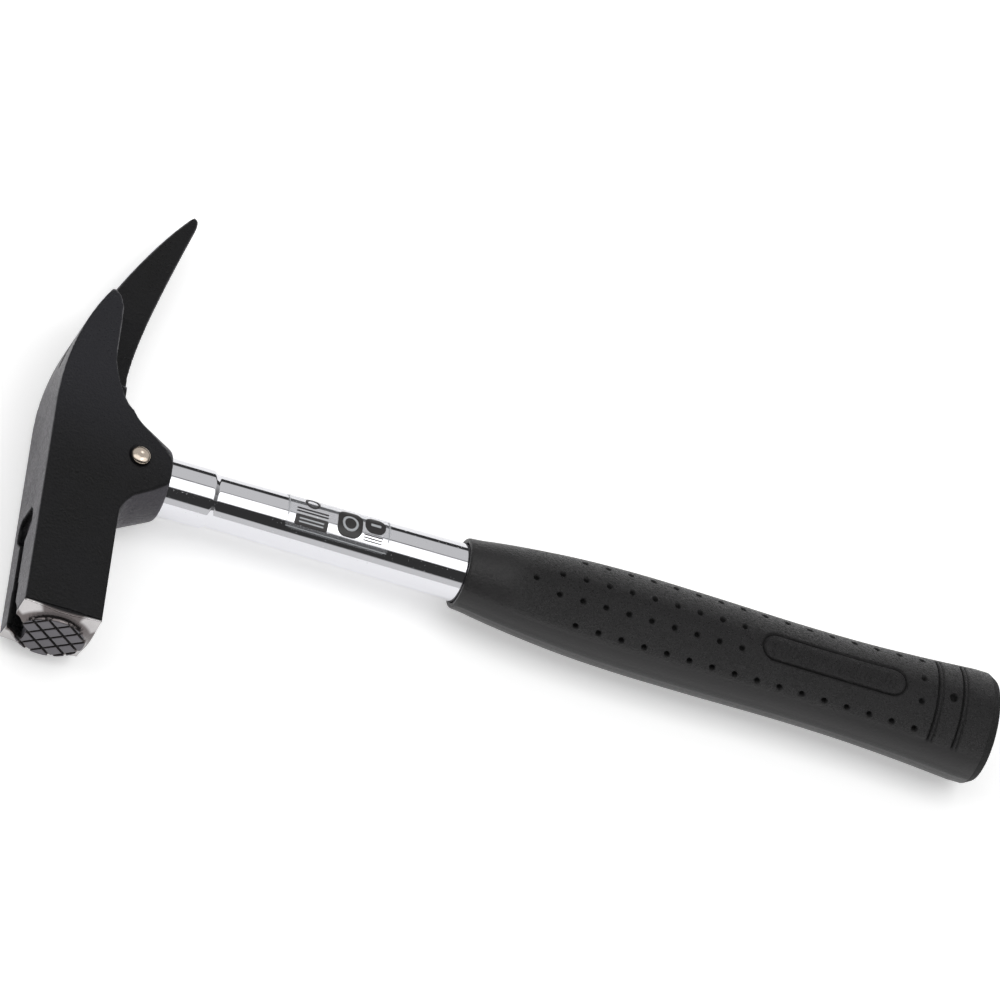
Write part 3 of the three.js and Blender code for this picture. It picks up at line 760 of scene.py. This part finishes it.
class HAMMER_OT_rivet(bpy.types.Operator):
    """Rivet through the socket: a shank with two low domes, each dimpled by the riveting tool"""

    bl_idname = "hammer.rivet"
    bl_label = "Rivet"

    def execute(self, context):
        settings = context.scene.hammer_rivet_settings
        head = (RIVET_HIGH.x - RIVET_LOW.x) / 2
        shank = head - 0.6 * MM
        top = (RIVET_HIGH.z - RIVET_LOW.z) / 2
        seat = top - 1.7 * MM
        edge = seat + 0.35 * MM
        radius = head * np.sin(np.linspace(0, math.pi / 2, 28)) ** 0.9
        dome = edge + (top - edge) * np.sqrt(np.clip(1 - (radius / head) ** 2, 0, 1))
        dome -= settings.dimple_depth * np.exp(-((radius / settings.dimple_radius) ** 2))
        outer = np.stack([dome, radius], axis=-1)[1:]
        foot = np.array([[seat + 0.05 * MM, head], [seat, head - 0.05 * MM], [seat, shank]])
        upper = np.concatenate([outer, foot])
        lower = upper[::-1] * [-1, 1]
        rings = turned(np.concatenate([upper, lower]), around(56))
        middle = (RIVET_LOW + RIVET_HIGH) / 2
        upright = rings[..., [1, 2, 0]]
        upright[..., 0] += middle.x - ORIGIN[0]
        upright[..., 1] += middle.y - ORIGIN[1]
        points, faces = capped(upright)
        material = plated_metal("barrelled_nickel_plate", settings.metal, 0.14, 0.26, 1.1 * MM)
        make_piece("socket_rivet", points, faces, material, ("head_rivet",))
        return {"FINISHED"}


class HAMMER_OT_magnet(bpy.types.Operator):
    """Magnet in the nail groove: a short round bar with broken edges"""

    bl_idname = "hammer.magnet"
    bl_label = "Magnet"

    def execute(self, context):
        middle = (MAGNET_LOW + MAGNET_HIGH) / 2
        radius = (MAGNET_HIGH.z - MAGNET_LOW.z) / 2
        start, end = MAGNET_LOW.x - ORIGIN[0], MAGNET_HIGH.x - ORIGIN[0]
        chamfer = 0.35 * MM
        profile = np.array(
            [
                [start, 0.3 * radius],
                [start, radius - 1.15 * chamfer],
                [start + 0.02 * MM, radius - chamfer],
                [start + chamfer, radius - 0.02 * MM],
                [start + 1.15 * chamfer, radius],
                [end - chamfer, radius],
                [end, radius - chamfer],
            ]
        )
        rings = turned(profile, around(40))
        rings[..., 1] += middle.y - ORIGIN[1]
        rings[..., 2] += middle.z - ORIGIN[2]
        points, faces = capped(rings)
        material = plated_metal("nickel_plated_magnet", linear("#9b9da1"), 0.22, 0.34, 0.8 * MM)
        make_piece("groove_magnet", points, faces, material, ("nail_magnet",))
        return {"FINISHED"}


# --- Handle -----------------------------------------------------------------------------------


def tube_radius(x, settings):
    """The tube's outer radius: even to the shoulder, a rounded step down, then a slow taper to the
    grip."""
    end_radius = (TUBE_HIGH.z - TUBE_LOW.z) / 2
    waist = settings.shoulder + settings.shoulder_length
    grip_start = GRIP_LOW.x - ORIGIN[0]
    share = np.clip((x - waist) / (grip_start - waist), 0, 1)
    taper = settings.waist_radius + share * (settings.grip_radius - settings.waist_radius)
    step = np.clip((x - settings.shoulder) / settings.shoulder_length, 0, 1)
    return end_radius + step * (taper - end_radius)


class HAMMER_OT_tube(bpy.types.Operator):
    """Chromed tube: one long turned wall with a drawn shoulder, and what fills its ends"""

    bl_idname = "hammer.tube"
    bl_label = "Tube"

    def execute(self, context):
        settings = context.scene.hammer_tube_settings
        start, end = TUBE_LOW.x - ORIGIN[0], TUBE_HIGH.x - ORIGIN[0]
        shoulder = settings.shoulder + settings.shoulder_length / 2
        x = lines(start, end, [shoulder], 2.2 * MM, 0.1 * MM, 2.5 * MM)
        spread = 0.3 * MM * np.linspace(-1, 1, 13)
        outer = tube_radius(x[:, None] + spread, settings).mean(axis=1)
        outside = np.stack([x, outer], axis=-1)
        inside = np.stack([x, outer - settings.wall], axis=-1)[::-1]
        rings = turned(np.concatenate([outside, inside]), around(144))
        points = rings.reshape(-1, 3)
        faces = ring_faces(*rings.shape[:2], closed_lengthwise=True).tolist()
        material = chrome_plate(settings.chrome)
        make_piece("chromed_tube", points, faces, material, ("handle_tube",))
        dress("tube_core", turned_beech())
        dress("tube_plug", moulded_plastic())
        return {"FINISHED"}


# Rubber over the tube at places along the grip, each as a share of the grip's length
GRIP_WALLS = np.array(
    [
        (0.02, 2.3),
        (0.05, 3.1),
        (0.126, 4.75),
        (0.21, 6.1),
        (0.32, 6.9),
        (0.45, 6.95),
        (0.65, 6.7),
        (0.75, 7.05),
        (0.86, 8.1),
        (0.96, 9.5),
    ]
)
GRIP_MEAN_RADIUS = 16.8 * MM  # turns distances round the grip into angles


def flowing(x, marks, values):
    """A smooth curve through the values: each span is a cubic whose slopes at its ends are those
    between the neighbouring values."""
    slopes = np.gradient(values, marks)
    span = np.clip(np.searchsorted(marks, x) - 1, 0, len(marks) - 2)
    width = marks[span + 1] - marks[span]
    t = np.clip((x - marks[span]) / width, 0, 1)
    return (
        (2 * t**3 - 3 * t**2 + 1) * values[span]
        + (t**3 - 2 * t**2 + t) * width * slopes[span]
        + (3 * t**2 - 2 * t**3) * values[span + 1]
        + (t**3 - t**2) * width * slopes[span + 1]
    )


# The grip's pattern, in metres: x from the head's top, and arcs round it from a broad side's middle
DIMPLE_START = 172.1 * MM
DIMPLE_ARCS = (4 * MM, 13.1 * MM)  # the inner and outer rows
DIMPLE_COUNT = 17
INNER_COUNT = 9  # the inner rows stop at the panel, and have one more dimple behind it
LARGE_DIMPLE = (308.2 * MM, 0.0, 1.4)
PANEL_MIDDLE = 266.9 * MM
BAR_PITCH = 3.4 * MM
BAR_LEAN = 0.35  # how far a bar moves along per metre round
CROSS_LINES = (303.8 * MM, 312.3 * MM)
CROSS_CUTS = ((-0.7 * MM, 0.9 * MM), (0.7 * MM, 0.5 * MM))  # place and depth of a pair's two lines
PATTERN_RUN = (172 * MM, 302 * MM)  # the pattern's middle drifts between these places
PATTERN_SHIFT = (2.1 * MM, 1 * MM)  # towards the face at the first and at the second
FINE_START = 237 * MM  # fine rows of points for the panel, then finer for the cross lines
FINEST = (299 * MM, 317 * MM)
SAND_START = (152 * MM, 168 * MM)  # the rubber turns sandy here
SAND_EDGE = (0.95, 1.15)  # radians from the polished edges at which it is smooth again


def ridge(distance, width):
    """A soft ridge: e to the power of minus the square of distance over width."""
    return np.exp(-((distance / width) ** 2))


def dimple_places(settings):
    """Each dimple's place along the grip, arc round it from a side's middle, and size factor."""
    inner, outer = DIMPLE_ARCS
    places = [(DIMPLE_START - 1.07 * settings.dimple_pitch, 0.0, 1.0)]
    for k in range(DIMPLE_COUNT):
        x = DIMPLE_START + k * settings.dimple_pitch
        if k < INNER_COUNT or k == DIMPLE_COUNT - 1:
            places += [(x, -inner, 1.0), (x, inner, 1.0)]
        if k > 0:
            places += [(x, -outer, 1.0), (x, outer, 1.0)]
    return places + [LARGE_DIMPLE]


def pressed_in(x, arc, settings):
    """How deep the mould's details go at a distance x along the grip and arc round it from a side's
    middle: round dimples, the panel's outline with a row of bars in it, and two pairs of lines."""
    depth = np.zeros(np.broadcast(x, arc).shape)
    for place, off, size in dimple_places(settings):
        distance = np.hypot(x - place, arc - off)
        radius = size * settings.dimple_radius
        hole = 1 - smoothstep(radius - 0.28 * MM, radius + 0.12 * MM, distance)
        collar = ridge(distance - radius - 0.3 * MM, 0.22 * MM)
        depth = np.maximum(depth, settings.dimple_depth * hole) - 0.05 * MM * collar
    round_end = settings.panel_height / 2
    along = x - PANEL_MIDDLE
    beyond = np.maximum(np.abs(along) - (settings.panel_length / 2 - round_end), 0)
    from_spine = np.hypot(beyond, arc)
    depth = depth + 0.95 * MM * ridge(from_spine - round_end, 0.36 * MM)
    turns = (along - arc * BAR_LEAN) / BAR_PITCH
    off_bar = np.abs(turns - np.round(turns)) * BAR_PITCH
    within = 1 - smoothstep(round_end - 2.3 * MM, round_end - 1.9 * MM, from_spine)
    depth = depth - 0.55 * MM * (1 - smoothstep(0.5 * MM, 0.85 * MM, off_bar)) * within
    reach = 1 - smoothstep(15.2 * MM, 16 * MM, np.abs(arc))
    for place in CROSS_LINES:
        for off, cut in CROSS_CUTS:
            depth = depth + cut * ridge(x - place - off, 0.34 * MM) * reach
    return depth


def grip_rows(start, end, settings):
    """Places of the rows of points along the grip, closer together where the pattern is finer."""
    early = sorted({round(place, 6) for place, _, _ in dimple_places(settings)})
    early = [place for place in early if place < FINE_START - 1 * MM]
    rows = np.concatenate(
        [
            lines(start, FINE_START, early, 1.3 * MM, 0.26 * MM, 2.2 * MM)[:-1],
            np.arange(FINE_START, FINEST[0], 0.38 * MM),
            np.arange(*FINEST, 0.22 * MM),
            np.arange(FINEST[1], end, 0.8 * MM),
            [end - 0.15 * MM, end],
        ]
    )
    return np.unique(np.round(rows, 7))


class HAMMER_OT_grip(bpy.types.Operator):
    """Rubber grip: an oval swell round the tube with dimples, a plain panel and cross lines"""

    bl_idname = "hammer.grip"
    bl_label = "Grip"

    def execute(self, context):
        settings = context.scene.hammer_grip_settings
        tube = context.scene.hammer_tube_settings
        start, end = GRIP_LOW.x - ORIGIN[0], GRIP_HIGH.x - ORIGIN[0]
        length = end - start
        bore = tube.grip_radius + 0.3 * MM
        marks = np.concatenate([[0.0], GRIP_WALLS[:, 0]]) * length + start
        walls = tube.grip_radius + GRIP_WALLS[:, 1] * MM
        lip_roll = 1.1 * MM
        side_start, side_end = start + lip_roll, end - settings.chamfer
        x = grip_rows(side_start, side_end, settings)
        radius = flowing(x, marks, np.concatenate([[bore + settings.lip_wall], walls]))
        turn = np.linspace(0, math.pi / 2, 7)[1:]
        rolled_lip = np.stack(
            [side_start - lip_roll * np.sin(turn), radius[0] - 0.75 * MM * (1 - np.cos(turn))],
            axis=-1,
        )
        end_radius = radius[-1]
        chamfer = np.array(
            [
                [end, 0.2 * end_radius],
                [end, 0.55 * end_radius],
                [end, end_radius - 1.9 * MM],
                [end - 0.12 * MM, end_radius - 1.6 * MM],
                [end - 0.5 * MM, end_radius - 1.32 * MM],
                [side_end + 0.5 * MM, end_radius - 0.2 * MM],
                [side_end + 0.15 * MM, end_radius - 0.04 * MM],
            ]
        )
        bore_end = end - 6 * MM
        inner = np.array(
            [
                [start + 0.05 * MM, bore + 0.35 * MM],
                [start + 0.3 * MM, bore + 0.06 * MM],
                [start + 0.8 * MM, bore],
                [start + 6 * MM, bore],
                [bore_end, bore],
                [bore_end, 0.5 * bore],
            ]
        )
        side = np.stack([x, radius], axis=-1)[::-1]
        profile = np.concatenate([chamfer, side, rolled_lip, inner])
        along = profile[:, 0, None]
        first, last = len(chamfer), len(chamfer) + len(side)

        quarter = math.pi / 2 * GRIP_MEAN_RADIUS
        arcs = lines(-quarter, quarter, [0.0], 17.5 * MM, 0.34 * MM, 1.6 * MM)
        half = (arcs / GRIP_MEAN_RADIUS)[:-1]
        angles = np.concatenate([half, half + math.pi])
        arcs = np.concatenate([half, half]) * GRIP_MEAN_RADIUS
        towards_face = np.repeat([1.0, -1.0], len(half))
        run_start, run_end = PATTERN_RUN
        drift = np.clip((along[first:last] - run_start) / (run_end - run_start), 0, 1)
        shift = PATTERN_SHIFT[0] - drift * (PATTERN_SHIFT[0] - PATTERN_SHIFT[1])
        pressed = pressed_in(along[first:last], arcs[None, :] + towards_face * shift, settings)
        parting = 0.28 * MM * ridge(np.abs(arcs) - quarter, 0.3 * MM)
        radii = profile[:, 1, None] + 0 * angles
        radii[first:last] += np.minimum(parting[None, :] - pressed, 0.45 * MM)

        share = (along - start) / length
        is_inner = np.arange(len(profile))[:, None] >= last + len(rolled_lip)
        oval = np.where(is_inner, 1.0, 1 - (1 - settings.oval) * share)
        lean = np.where(is_inner, 0.0, settings.lean * share)
        across, up = radii * np.sin(angles) - lean, radii * np.cos(angles) * oval
        points, faces = capped(np.stack([along + 0 * angles, across, up], axis=-1))
        material = moulded_rubber(settings.rubber)
        piece = make_piece("rubber_grip", points, faces, material, ("grip",))

        off_edge = np.abs(np.arctan2(points[:, 1], points[:, 2]))
        off_edge = np.minimum(off_edge, math.pi - off_edge)
        begins = smoothstep(*SAND_START, points[:, 0])
        sandy = (0.25 + 0.75 * begins) * (1 - smoothstep(*SAND_EDGE, off_edge)) + 0.12
        give(piece, "sandy", sandy)
        # Painted shade in the rubber's colour: 0.7 on the end's chamfer, and in the pressed-in
        # hollows by their depth
        hollow = np.zeros(len(points))
        begin, finish = first * len(angles), last * len(angles)
        hollow[:begin] = 0.7
        hollow[begin:finish] = smoothstep(0.25 * MM, 0.8 * MM, pressed).ravel()
        give(piece, "hollow", hollow)
        return {"FINISHED"}


# --- Label ------------------------------------------------------------------------------------


def on_tube(x, angle, height, tube):
    """Points at a distance x along the tube and an angle round it, raised from its surface by
    height."""
    radius = tube_radius(x, tube) + height
    return np.stack(np.broadcast_arrays(x, radius * np.sin(angle), radius * np.cos(angle)), axis=-1)


def film_shape(x_range, arc_range, corner, heights, tube):
    """A leaf with rounded corners that follows the tube. Near each end it is narrower on both sides
    by the corner's radius less the root of what is left of it squared."""
    eased = 0.5 - 0.5 * np.cos(np.linspace(0, math.pi, 72))
    x = (x_range[0] + eased * (x_range[1] - x_range[0]))[:, None]
    from_end = np.minimum(x - x_range[0], x_range[1] - x)
    left = np.clip(corner - from_end, 0, corner)
    inset = corner - np.sqrt(np.maximum(corner**2 - left**2, 0))
    low, high = arc_range[0] + inset, arc_range[1] - inset
    angle = (low + (high - low) * np.linspace(0, 1, 48)[None, :]) / tube.waist_radius
    return leaf(on_tube(x, angle, heights[0], tube), on_tube(x, angle, heights[1], tube))


def ring_shape(x, arc, outer, inner, heights, tube):
    """A flat ring printed round a point: its radius runs from inner to outer as it goes round."""
    turn = around(64)
    radius = np.array([inner, outer])[:, None]
    along = x + radius * np.cos(turn)
    angle = (arc + radius * np.sin(turn)) / tube.waist_radius
    lower, upper = (on_tube(along, angle, height, tube) for height in heights)
    loop = np.concatenate([lower, upper[::-1]])
    return loop.reshape(-1, 3), ring_faces(4, len(turn), closed_lengthwise=True).tolist()


class HAMMER_OT_label(bpy.types.Operator):
    """Clear label film with plain printed marks"""

    bl_idname = "hammer.label"
    bl_label = "Label"

    def execute(self, context):
        settings = context.scene.hammer_label_settings
        tube = context.scene.hammer_tube_settings
        start, end = LABEL_LOW.x - ORIGIN[0], LABEL_HIGH.x - ORIGIN[0]
        low = settings.first_angle * tube.waist_radius
        high = settings.last_angle * tube.waist_radius
        film_heights = (0.03 * MM, 0.1 * MM)
        points, faces = film_shape((start, end), (low, high), settings.corner, film_heights, tube)
        film = clear_film(settings.film)
        make_piece("label_film", points, faces, film, ("handle_label",))
        print_heights = (0.11 * MM, 0.135 * MM)
        over = (0.145 * MM, 0.16 * MM)  # a second print on top of the first

        def panel(x0, x1, arc0, arc1, radius, layers=print_heights):
            """A panel with rounded corners, placed in millimetres from the label's low corner."""
            x_range = (start + x0 * MM, start + x1 * MM)
            arc_range = (low + arc0 * MM, low + arc1 * MM)
            return film_shape(x_range, arc_range, radius * MM, layers, tube)

        def bars(x0, x1, height, arcs, layers=print_heights):
            return [panel(x0, x1, arc, arc + height, 0.1, layers) for arc in arcs]

        def ring(x, arc, outer, inner, layers=print_heights):
            return ring_shape(start + x * MM, low + arc * MM, outer * MM, inner * MM, layers, tube)

        wide, tall, corner = (end - start) / MM, (high - low) / MM, settings.corner / MM
        inset, outline = 0.5, 0.22
        thin_lines = [
            (inset, wide - inset, inset, inset + outline),
            (inset, wide - inset, tall - inset - outline, tall - inset),
            (inset, inset + outline, inset + corner, tall - inset - corner),
            (wide - inset - outline, wide - inset, inset + corner, tall - inset - corner),
        ]
        dark = [
            panel(3, 14, 1.7, 5.2, 0.6),
            *bars(3.2, 13.8, 0.42, (6.1, 7.2)),
            ring(8.5, 11, 2.5, 1.7),
            panel(17, 25.3, 2.2, 11.6, 3),
            panel(26.1, 33, 5.6, 11.6, 2.6),
            *bars(26.1, 32.4, 0.35, (2.7, 3.6, 4.5)),
        ]
        pale = [
            *(panel(*line, 0.02) for line in thin_lines),
            ring(21.2, 6.9, 2.7, 1.9, over),
            panel(28, 31.4, 8.1, 9.1, 0.3, over),
            *bars(4.4, 12.6, 0.45, (2.7, 3.8), over),
        ]
        for name, shapes, colour in (
            ("label_dark_print", dark, settings.ink),
            ("label_pale_print", pale, linear("#b9bcc0")),
        ):
            points, faces = merged(shapes)
            make_piece(name, points, faces, printed_ink(name + "_ink", colour))
        return {"FINISHED"}


# --- Stage ------------------------------------------------------------------------------------


def studio_sky(colour):
    """A plain studio that lights by the angle round the handle's axis from straight up: a bright
    strip overhead, a narrow dark seam, a fainter strip down the far side, and a dim one at the
    near side's foot. All of them fade towards both ends of that axis."""
    world = bpy.data.worlds.new("studio")
    world.use_nodes = True
    tree = world.node_tree
    tree.nodes.clear()
    direction = add(tree, "TexCoord").outputs["Generated"]
    along, across, up = add(tree, "SeparateXYZ", {"Vector": direction}).outputs
    angle = worked(tree, "ARCTAN2", across, up)

    def strip(start, end, soft, level):
        """Light between two angles in degrees, with soft edges."""
        start, end, soft = math.radians(start), math.radians(end), math.radians(soft)
        opens = ranged(tree, angle, start - soft, start + soft, 0.0, level)
        closes = ranged(tree, angle, end - soft, end + soft, 1.0, 0.0)
        return worked(tree, "MULTIPLY", opens, closes)

    overhead = strip(-23, 17.5, 1.5, 1.6)
    far_side = strip(20.5, 71, 1.5, 0.64)
    near_foot = strip(-110, -66, 2, 0.66)
    lit = worked(tree, "ADD", worked(tree, "ADD", overhead, far_side), near_foot)
    ends = ranged(tree, worked(tree, "ABSOLUTE", along), 0.7, 0.95, 1.0, 0.0)
    strength = worked(tree, "ADD", worked(tree, "MULTIPLY", lit, ends), 0.04)
    back = add(tree, "Background", {"Color": opaque(colour), "Strength": strength})
    add(tree, "OutputWorld", {"Surface": back.outputs[0]})
    return world


def softbox(name, place, aim, size, power):
    """A rectangular area light that looks at a point."""
    light = bpy.data.lights.new(name, "AREA")
    light.shape = "RECTANGLE"
    light.size, light.size_y = size
    light.energy = power
    lamp = bpy.data.objects.new(name, light)
    lamp.location = place
    toward = np.array(aim) - np.array(place)
    yaw = math.atan2(-toward[0], toward[1])
    pitch = math.acos(-toward[2] / np.linalg.norm(toward))
    lamp.rotation_euler = (pitch, 0, yaw)
    bpy.context.scene.collection.objects.link(lamp)
    return lamp


class HAMMER_OT_stage(bpy.types.Operator):
    """Pale floor, soft studio light and the camera"""

    bl_idname = "hammer.stage"
    bl_label = "Stage"

    def execute(self, context):
        settings = context.scene.hammer_stage_settings
        half = 6.0
        mesh = bpy.data.meshes.new("floor")
        below = -0.02 * MM
        signs = ((-1, -1), (1, -1), (1, 1), (-1, 1))
        corners = [(half * x, half * y, below) for x, y in signs]
        mesh.from_pydata(corners, [], [(0, 1, 2, 3)])
        material, tree, where = new_material("matt_paper_sweep")
        tooth = noise(tree, where, 0.6 * MM, 2.0)
        sockets = {
            "Base Color": opaque(settings.floor),
            "Roughness": 0.8,
            "Specular IOR Level": 0.2,
            "Emission Color": opaque(settings.floor),
            "Emission Strength": 0.48,
            "Normal": bumped(tree, tooth, 0.02 * MM, 0.3),
        }
        mesh.materials.append(surfaced(material, tree, sockets))
        floor = bpy.data.objects.new("floor", mesh)
        context.scene.collection.objects.link(floor)
        context.scene.world = studio_sky(settings.sky)
        softbox("overhead_softbox", (0.3, -0.1, 1.6), (0, 0, 0), (0.7, 0.3), 1.0)
        lens = bpy.data.cameras.new("camera")
        lens.lens = settings.lens
        lens.sensor_width = 36
        lens.clip_end = 50
        camera = bpy.data.objects.new("camera", lens)
        camera.location = settings.camera_place
        camera.rotation_euler = settings.camera_turn
        context.scene.collection.objects.link(camera)
        context.scene.camera = camera
        context.scene.view_settings.view_transform = "Standard"
        return {"FINISHED"}


OPERATORS = (
    HAMMER_OT_head,
    HAMMER_OT_rivet,
    HAMMER_OT_magnet,
    HAMMER_OT_tube,
    HAMMER_OT_grip,
    HAMMER_OT_label,
    HAMMER_OT_stage,
)


class HAMMER_PT_pieces(bpy.types.Panel):
    """The hammer's pieces and their settings"""

    bl_label = "Roofing hammer"
    bl_space_type = "VIEW_3D"
    bl_region_type = "UI"
    bl_category = "Hammer"

    def draw(self, context):
        for operator in OPERATORS:
            self.layout.operator(operator.bl_idname)
        for name, group in SETTINGS.items():
            box = self.layout.box()
            for key in group.__annotations__:
                box.prop(getattr(context.scene, name), key)


def register():
    for group in SETTINGS.values():
        bpy.utils.register_class(group)
    for operator in OPERATORS:
        bpy.utils.register_class(operator)
    bpy.utils.register_class(HAMMER_PT_pieces)
    for name, group in SETTINGS.items():
        setattr(bpy.types.Scene, name, PointerProperty(type=group))


def unregister():
    for name in SETTINGS:
        delattr(bpy.types.Scene, name)
    bpy.utils.unregister_class(HAMMER_PT_pieces)
    for operator in reversed(OPERATORS):
        bpy.utils.unregister_class(operator)
    for group in reversed(SETTINGS.values()):
        bpy.utils.unregister_class(group)


def main():
    register()
    bpy.ops.hammer.head()
    bpy.ops.hammer.rivet()
    bpy.ops.hammer.magnet()
    bpy.ops.hammer.tube()
    bpy.ops.hammer.grip()
    bpy.ops.hammer.label()
    bpy.ops.hammer.stage()


if __name__ == "__main__":
    main()
